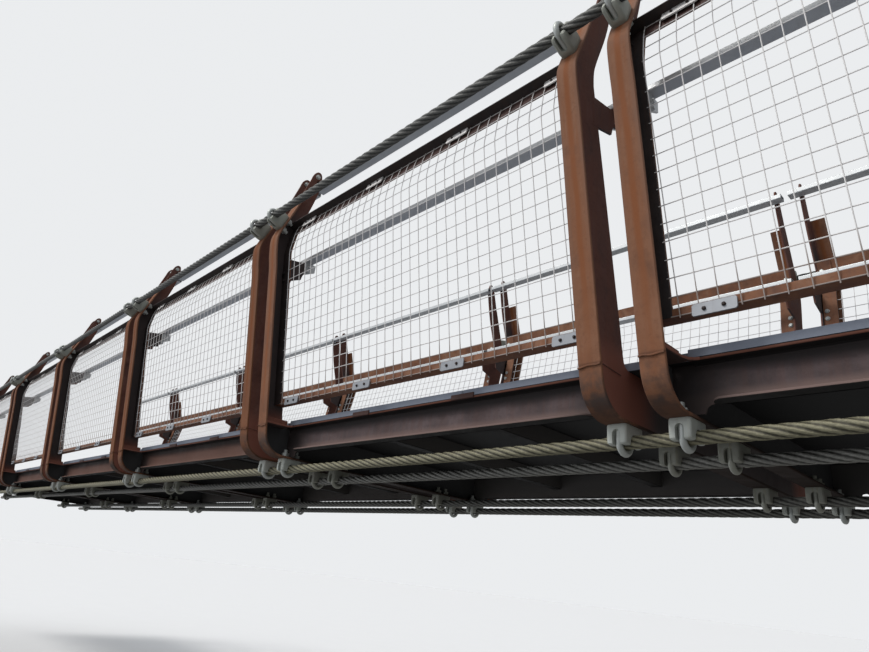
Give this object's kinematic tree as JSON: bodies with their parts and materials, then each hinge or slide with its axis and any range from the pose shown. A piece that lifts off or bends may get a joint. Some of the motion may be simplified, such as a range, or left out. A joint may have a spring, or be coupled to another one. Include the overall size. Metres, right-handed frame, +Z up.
{
  "type": "suspension footbridge",
  "caption": "Straight run of a suspension footbridge: steel bays with mesh sides and handrails, clamped to wire ropes under the floor and along both sides.",
  "frame": {"origin": "middle of the bounding box in X and Y, at the height of the lowest rope clamps, which the part stands on", "axes": "+X along the bridge, +Y across it, +Z up; the side that the picture is taken from is -Y and its near end is +X"},
  "size_m": [11.538, 2.0218, 1.589],
  "materials": {
    "wire_rope": "galvanised wire strands, dull and weathered",
    "frame_steel": "weathering steel, matt orange to dark brown rust",
    "floor_steel": "weathering steel, matt dark brown rust",
    "galvanised_steel": "hot-dip galvanised, dull grey"
  },
  "bodies": {
    "root": {"deck_rope_1": "wire_rope", "deck_rope_2": "wire_rope", "deck_rope_3": "wire_rope", "deck_rope_4": "wire_rope", "top_rope_near": "wire_rope", "top_rope_far": "wire_rope", "u_frame_1_left": "frame_steel", "u_frame_1_right": "frame_steel", "floor_1": "floor_steel", "side_mesh_near_1": "galvanised_steel", "handrail_near_1": "galvanised_steel", "top_bar_near_1": "galvanised_steel", "side_mesh_far_1": "galvanised_steel", "handrail_far_1": "galvanised_steel", "top_bar_far_1": "galvanised_steel", "u_frame_2_left": "frame_steel", "u_frame_2_right": "frame_steel", "floor_2": "floor_steel", "side_mesh_near_2": "galvanised_steel", "handrail_near_2": "galvanised_steel", "top_bar_near_2": "galvanised_steel", "side_mesh_far_2": "galvanised_steel", "handrail_far_2": "galvanised_steel", "top_bar_far_2": "galvanised_steel", "u_frame_3_left": "frame_steel", "u_frame_3_right": "frame_steel", "floor_3": "floor_steel", "side_mesh_near_3": "galvanised_steel", "handrail_near_3": "galvanised_steel", "top_bar_near_3": "galvanised_steel", "side_mesh_far_3": "galvanised_steel", "handrail_far_3": "galvanised_steel", "top_bar_far_3": "galvanised_steel", "u_frame_4_left": "frame_steel", "u_frame_4_right": "frame_steel", "floor_4": "floor_steel", "side_mesh_near_4": "galvanised_steel", "handrail_near_4": "galvanised_steel", "top_bar_near_4": "galvanised_steel", "side_mesh_far_4": "galvanised_steel", "handrail_far_4": "galvanised_steel", "top_bar_far_4": "galvanised_steel", "u_frame_5_left": "frame_steel", "u_frame_5_right": "frame_steel", "floor_5": "floor_steel", "side_mesh_near_5": "galvanised_steel", "handrail_near_5": "galvanised_steel", "top_bar_near_5": "galvanised_steel", "side_mesh_far_5": "galvanised_steel", "handrail_far_5": "galvanised_steel", "top_bar_far_5": "galvanised_steel", "u_frame_6_left": "frame_steel", "u_frame_6_right": "frame_steel", "floor_6": "floor_steel", "side_mesh_near_6": "galvanised_steel", "handrail_near_6": "galvanised_steel", "top_bar_near_6": "galvanised_steel", "side_mesh_far_6": "galvanised_steel", "handrail_far_6": "galvanised_steel", "top_bar_far_6": "galvanised_steel"}
  },
  "joints": []
}
